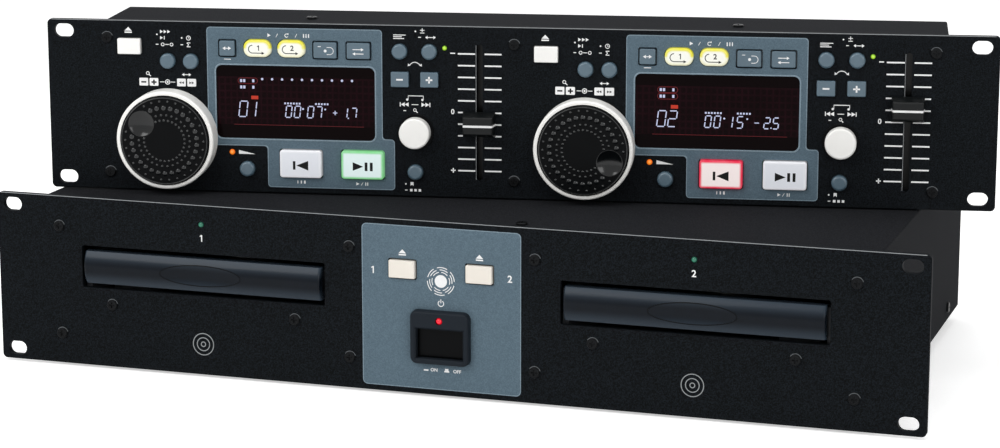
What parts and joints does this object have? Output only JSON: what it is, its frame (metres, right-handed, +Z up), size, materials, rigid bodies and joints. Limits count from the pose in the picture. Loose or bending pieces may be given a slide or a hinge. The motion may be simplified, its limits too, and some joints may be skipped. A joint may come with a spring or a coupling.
{
  "type": "dual cd player",
  "caption": "Rack-mount disc player with trays and a separate remote controller with jog wheels, pitch faders and displays standing turned on its lid.",
  "frame": {"origin": "centre of the player's four rack slots, on the rear face of its front panel", "axes": "+X along the player's panel to the right, +Y to the player's rear, +Z up"},
  "size_m": [0.4951, 0.2504, 0.1767],
  "materials": {
    "front_panel": "fine textured black paint",
    "cover": "satin black paint",
    "chassis": "satin black paint",
    "fixings": "blackened steel and rubber",
    "window": "dark tinted acrylic",
    "circuit_board": "green board",
    "loader_plastic": "moulded",
    "tray_plastic": "satin dark blue-grey",
    "hub_plastic": "moulded",
    "pickup_alloy": "die cast",
    "black_plastic": "satin",
    "white_plastic": "satin",
    "cream_plastic": "satin",
    "grey_plastic": "satin",
    "lamp_white": "translucent lit cap",
    "lamp_yellow": "translucent lit cap"
  },
  "bodies": {
    "player": {"player_front_panel": "front_panel", "player_chassis": "chassis", "player_top_cover": "cover", "loader_frames": "loader_plastic", "player_circuit_boards": "circuit_board", "player_fixings": "fixings"},
    "controller": {"controller_front_panel": "front_panel", "controller_case": "cover", "display_windows": "window", "controller_circuit_board": "circuit_board", "controller_fixings": "fixings"},
    "open_close_button_1": {"open_close_button_1": "white_plastic"},
    "cont_button_1": {"cont_button_1": "grey_plastic"},
    "time_button_1": {"time_button_1": "grey_plastic"},
    "flip_button_1": {"flip_button_1": "grey_plastic"},
    "a1_button_1": {"a1_button_1": "lamp_yellow"},
    "a2_button_1": {"a2_button_1": "lamp_yellow"},
    "b_button_1": {"b_button_1": "grey_plastic"},
    "exit_button_1": {"exit_button_1": "grey_plastic"},
    "cue_button_1": {"cue_button_1": "lamp_white"},
    "play_button_1": {"play_button_1": "lamp_white"},
    "brake_button_1": {"brake_button_1": "grey_plastic"},
    "title_button_1": {"title_button_1": "grey_plastic"},
    "key_button_1": {"key_button_1": "grey_plastic"},
    "bend_minus_button_1": {"bend_minus_button_1": "grey_plastic"},
    "bend_plus_button_1": {"bend_plus_button_1": "grey_plastic"},
    "memo_button_1": {"memo_button_1": "grey_plastic"},
    "jog_wheel_1": {"jog_wheel_1": "black_plastic"},
    "scan_ring_1": {"scan_ring_1": "white_plastic"},
    "track_knob_1": {"track_knob_1": "white_plastic"},
    "pitch_fader_1": {"pitch_fader_1": "black_plastic"},
    "tray_1": {"tray_1": "tray_plastic"},
    "turntable_1": {"turntable_1": "hub_plastic"},
    "pickup_1": {"pickup_1": "pickup_alloy"},
    "player_open_button_1": {"player_open_button_1": "cream_plastic"},
    "open_close_button_2": {"open_close_button_2": "white_plastic"},
    "cont_button_2": {"cont_button_2": "grey_plastic"},
    "time_button_2": {"time_button_2": "grey_plastic"},
    "flip_button_2": {"flip_button_2": "grey_plastic"},
    "a1_button_2": {"a1_button_2": "lamp_yellow"},
    "a2_button_2": {"a2_button_2": "lamp_yellow"},
    "b_button_2": {"b_button_2": "grey_plastic"},
    "exit_button_2": {"exit_button_2": "grey_plastic"},
    "cue_button_2": {"cue_button_2": "lamp_white"},
    "play_button_2": {"play_button_2": "lamp_white"},
    "brake_button_2": {"brake_button_2": "grey_plastic"},
    "title_button_2": {"title_button_2": "grey_plastic"},
    "key_button_2": {"key_button_2": "grey_plastic"},
    "bend_minus_button_2": {"bend_minus_button_2": "grey_plastic"},
    "bend_plus_button_2": {"bend_plus_button_2": "grey_plastic"},
    "memo_button_2": {"memo_button_2": "grey_plastic"},
    "jog_wheel_2": {"jog_wheel_2": "black_plastic"},
    "scan_ring_2": {"scan_ring_2": "white_plastic"},
    "track_knob_2": {"track_knob_2": "white_plastic"},
    "pitch_fader_2": {"pitch_fader_2": "black_plastic"},
    "tray_2": {"tray_2": "tray_plastic"},
    "turntable_2": {"turntable_2": "hub_plastic"},
    "pickup_2": {"pickup_2": "pickup_alloy"},
    "player_open_button_2": {"player_open_button_2": "cream_plastic"},
    "power_button": {"power_button": "black_plastic"}
  },
  "joints": [
    {"name": "controller_lift", "type": "slide", "parent": "player", "child": "controller", "axis": [0, 0, 1], "range_m": [0, 0.1]},
    {"name": "open_close_button_1_press", "type": "slide", "parent": "controller", "child": "open_close_button_1", "axis": [-0.1822, 0.9833, 0], "range_m": [0, 0.0012], "stiffness_N_per_m": 150, "springref_m": -0.002},
    {"name": "cont_button_1_press", "type": "slide", "parent": "controller", "child": "cont_button_1", "axis": [-0.1822, 0.9833, 0], "range_m": [0, 0.0012], "stiffness_N_per_m": 150, "springref_m": -0.002},
    {"name": "time_button_1_press", "type": "slide", "parent": "controller", "child": "time_button_1", "axis": [-0.1822, 0.9833, 0], "range_m": [0, 0.0012], "stiffness_N_per_m": 150, "springref_m": -0.002},
    {"name": "flip_button_1_press", "type": "slide", "parent": "controller", "child": "flip_button_1", "axis": [-0.1822, 0.9833, 0], "range_m": [0, 0.0012], "stiffness_N_per_m": 150, "springref_m": -0.002},
    {"name": "a1_button_1_press", "type": "slide", "parent": "controller", "child": "a1_button_1", "axis": [-0.1822, 0.9833, 0], "range_m": [0, 0.0012], "stiffness_N_per_m": 150, "springref_m": -0.002},
    {"name": "a2_button_1_press", "type": "slide", "parent": "controller", "child": "a2_button_1", "axis": [-0.1822, 0.9833, 0], "range_m": [0, 0.0012], "stiffness_N_per_m": 150, "springref_m": -0.002},
    {"name": "b_button_1_press", "type": "slide", "parent": "controller", "child": "b_button_1", "axis": [-0.1822, 0.9833, 0], "range_m": [0, 0.0012], "stiffness_N_per_m": 150, "springref_m": -0.002},
    {"name": "exit_button_1_press", "type": "slide", "parent": "controller", "child": "exit_button_1", "axis": [-0.1822, 0.9833, 0], "range_m": [0, 0.0012], "stiffness_N_per_m": 150, "springref_m": -0.002},
    {"name": "cue_button_1_press", "type": "slide", "parent": "controller", "child": "cue_button_1", "axis": [-0.1822, 0.9833, 0], "range_m": [0, 0.0012], "stiffness_N_per_m": 150, "springref_m": -0.002},
    {"name": "play_button_1_press", "type": "slide", "parent": "controller", "child": "play_button_1", "axis": [-0.1822, 0.9833, 0], "range_m": [0, 0.0012], "stiffness_N_per_m": 150, "springref_m": -0.002},
    {"name": "brake_button_1_press", "type": "slide", "parent": "controller", "child": "brake_button_1", "axis": [-0.1822, 0.9833, 0], "range_m": [0, 0.0012], "stiffness_N_per_m": 150, "springref_m": -0.002},
    {"name": "title_button_1_press", "type": "slide", "parent": "controller", "child": "title_button_1", "axis": [-0.1822, 0.9833, 0], "range_m": [0, 0.0012], "stiffness_N_per_m": 150, "springref_m": -0.002},
    {"name": "key_button_1_press", "type": "slide", "parent": "controller", "child": "key_button_1", "axis": [-0.1822, 0.9833, 0], "range_m": [0, 0.0012], "stiffness_N_per_m": 150, "springref_m": -0.002},
    {"name": "bend_minus_button_1_press", "type": "slide", "parent": "controller", "child": "bend_minus_button_1", "axis": [-0.1822, 0.9833, 0], "range_m": [0, 0.0012], "stiffness_N_per_m": 150, "springref_m": -0.002},
    {"name": "bend_plus_button_1_press", "type": "slide", "parent": "controller", "child": "bend_plus_button_1", "axis": [-0.1822, 0.9833, 0], "range_m": [0, 0.0012], "stiffness_N_per_m": 150, "springref_m": -0.002},
    {"name": "memo_button_1_press", "type": "slide", "parent": "controller", "child": "memo_button_1", "axis": [-0.1822, 0.9833, 0], "range_m": [0, 0.0012], "stiffness_N_per_m": 150, "springref_m": -0.002},
    {"name": "jog_wheel_1_turn", "type": "hinge", "parent": "controller", "child": "jog_wheel_1", "pos_m": [-0.15871, 0.03031, 0.0714], "axis": [0.1822, -0.9833, 0], "continuous": true},
    {"name": "scan_ring_1_turn", "type": "hinge", "parent": "controller", "child": "scan_ring_1", "pos_m": [-0.15871, 0.03031, 0.0714], "axis": [0.1822, -0.9833, 0], "range_deg": [-45, 45], "stiffness_Nm_per_rad": 0.05},
    {"name": "track_knob_1_turn", "type": "hinge", "parent": "controller", "child": "track_knob_1", "pos_m": [-0.03286, 0.05363, 0.0769], "axis": [0.1822, -0.9833, 0], "continuous": true},
    {"name": "pitch_fader_1_slide", "type": "slide", "parent": "controller", "child": "pitch_fader_1", "axis": [0, 0, 1], "range_m": [-0.0243, 0.0357]},
    {"name": "tray_1_slide", "type": "slide", "parent": "player", "child": "tray_1", "axis": [0, -1, 0], "range_m": [0, 0.13]},
    {"name": "turntable_1_turn", "type": "hinge", "parent": "player", "child": "turntable_1", "pos_m": [-0.1277, 0.0665, 0], "axis": [0, 0, 1], "continuous": true},
    {"name": "pickup_1_slide", "type": "slide", "parent": "player", "child": "pickup_1", "axis": [0, 1, 0], "range_m": [-0.008, 0.026]},
    {"name": "player_open_button_1_press", "type": "slide", "parent": "player", "child": "player_open_button_1", "axis": [0, 1, 0], "range_m": [0, 0.0012], "stiffness_N_per_m": 150, "springref_m": -0.002},
    {"name": "open_close_button_2_press", "type": "slide", "parent": "controller", "child": "open_close_button_2", "axis": [-0.1822, 0.9833, 0], "range_m": [0, 0.0012], "stiffness_N_per_m": 150, "springref_m": -0.002},
    {"name": "cont_button_2_press", "type": "slide", "parent": "controller", "child": "cont_button_2", "axis": [-0.1822, 0.9833, 0], "range_m": [0, 0.0012], "stiffness_N_per_m": 150, "springref_m": -0.002},
    {"name": "time_button_2_press", "type": "slide", "parent": "controller", "child": "time_button_2", "axis": [-0.1822, 0.9833, 0], "range_m": [0, 0.0012], "stiffness_N_per_m": 150, "springref_m": -0.002},
    {"name": "flip_button_2_press", "type": "slide", "parent": "controller", "child": "flip_button_2", "axis": [-0.1822, 0.9833, 0], "range_m": [0, 0.0012], "stiffness_N_per_m": 150, "springref_m": -0.002},
    {"name": "a1_button_2_press", "type": "slide", "parent": "controller", "child": "a1_button_2", "axis": [-0.1822, 0.9833, 0], "range_m": [0, 0.0012], "stiffness_N_per_m": 150, "springref_m": -0.002},
    {"name": "a2_button_2_press", "type": "slide", "parent": "controller", "child": "a2_button_2", "axis": [-0.1822, 0.9833, 0], "range_m": [0, 0.0012], "stiffness_N_per_m": 150, "springref_m": -0.002},
    {"name": "b_button_2_press", "type": "slide", "parent": "controller", "child": "b_button_2", "axis": [-0.1822, 0.9833, 0], "range_m": [0, 0.0012], "stiffness_N_per_m": 150, "springref_m": -0.002},
    {"name": "exit_button_2_press", "type": "slide", "parent": "controller", "child": "exit_button_2", "axis": [-0.1822, 0.9833, 0], "range_m": [0, 0.0012], "stiffness_N_per_m": 150, "springref_m": -0.002},
    {"name": "cue_button_2_press", "type": "slide", "parent": "controller", "child": "cue_button_2", "axis": [-0.1822, 0.9833, 0], "range_m": [0, 0.0012], "stiffness_N_per_m": 150, "springref_m": -0.002},
    {"name": "play_button_2_press", "type": "slide", "parent": "controller", "child": "play_button_2", "axis": [-0.1822, 0.9833, 0], "range_m": [0, 0.0012], "stiffness_N_per_m": 150, "springref_m": -0.002},
    {"name": "brake_button_2_press", "type": "slide", "parent": "controller", "child": "brake_button_2", "axis": [-0.1822, 0.9833, 0], "range_m": [0, 0.0012], "stiffness_N_per_m": 150, "springref_m": -0.002},
    {"name": "title_button_2_press", "type": "slide", "parent": "controller", "child": "title_button_2", "axis": [-0.1822, 0.9833, 0], "range_m": [0, 0.0012], "stiffness_N_per_m": 150, "springref_m": -0.002},
    {"name": "key_button_2_press", "type": "slide", "parent": "controller", "child": "key_button_2", "axis": [-0.1822, 0.9833, 0], "range_m": [0, 0.0012], "stiffness_N_per_m": 150, "springref_m": -0.002},
    {"name": "bend_minus_button_2_press", "type": "slide", "parent": "controller", "child": "bend_minus_button_2", "axis": [-0.1822, 0.9833, 0], "range_m": [0, 0.0012], "stiffness_N_per_m": 150, "springref_m": -0.002},
    {"name": "bend_plus_button_2_press", "type": "slide", "parent": "controller", "child": "bend_plus_button_2", "axis": [-0.1822, 0.9833, 0], "range_m": [0, 0.0012], "stiffness_N_per_m": 150, "springref_m": -0.002},
    {"name": "memo_button_2_press", "type": "slide", "parent": "controller", "child": "memo_button_2", "axis": [-0.1822, 0.9833, 0], "range_m": [0, 0.0012], "stiffness_N_per_m": 150, "springref_m": -0.002},
    {"name": "jog_wheel_2_turn", "type": "hinge", "parent": "controller", "child": "jog_wheel_2", "pos_m": [0.05219, 0.0694, 0.0714], "axis": [0.1822, -0.9833, 0], "continuous": true},
    {"name": "scan_ring_2_turn", "type": "hinge", "parent": "controller", "child": "scan_ring_2", "pos_m": [0.05219, 0.0694, 0.0714], "axis": [0.1822, -0.9833, 0], "range_deg": [-45, 45], "stiffness_Nm_per_rad": 0.05},
    {"name": "track_knob_2_turn", "type": "hinge", "parent": "controller", "child": "track_knob_2", "pos_m": [0.17805, 0.09272, 0.0769], "axis": [0.1822, -0.9833, 0], "continuous": true},
    {"name": "pitch_fader_2_slide", "type": "slide", "parent": "controller", "child": "pitch_fader_2", "axis": [0, 0, 1], "range_m": [-0.0369, 0.0231]},
    {"name": "tray_2_slide", "type": "slide", "parent": "player", "child": "tray_2", "axis": [0, -1, 0], "range_m": [0, 0.13]},
    {"name": "turntable_2_turn", "type": "hinge", "parent": "player", "child": "turntable_2", "pos_m": [0.1277, 0.0665, 0], "axis": [0, 0, 1], "continuous": true},
    {"name": "pickup_2_slide", "type": "slide", "parent": "player", "child": "pickup_2", "axis": [0, 1, 0], "range_m": [-0.008, 0.026]},
    {"name": "player_open_button_2_press", "type": "slide", "parent": "player", "child": "player_open_button_2", "axis": [0, 1, 0], "range_m": [0, 0.0012], "stiffness_N_per_m": 150, "springref_m": -0.002},
    {"name": "power_button_press", "type": "slide", "parent": "player", "child": "power_button", "axis": [0, -1, 0], "range_m": [0, 0.0035]}
  ]
}
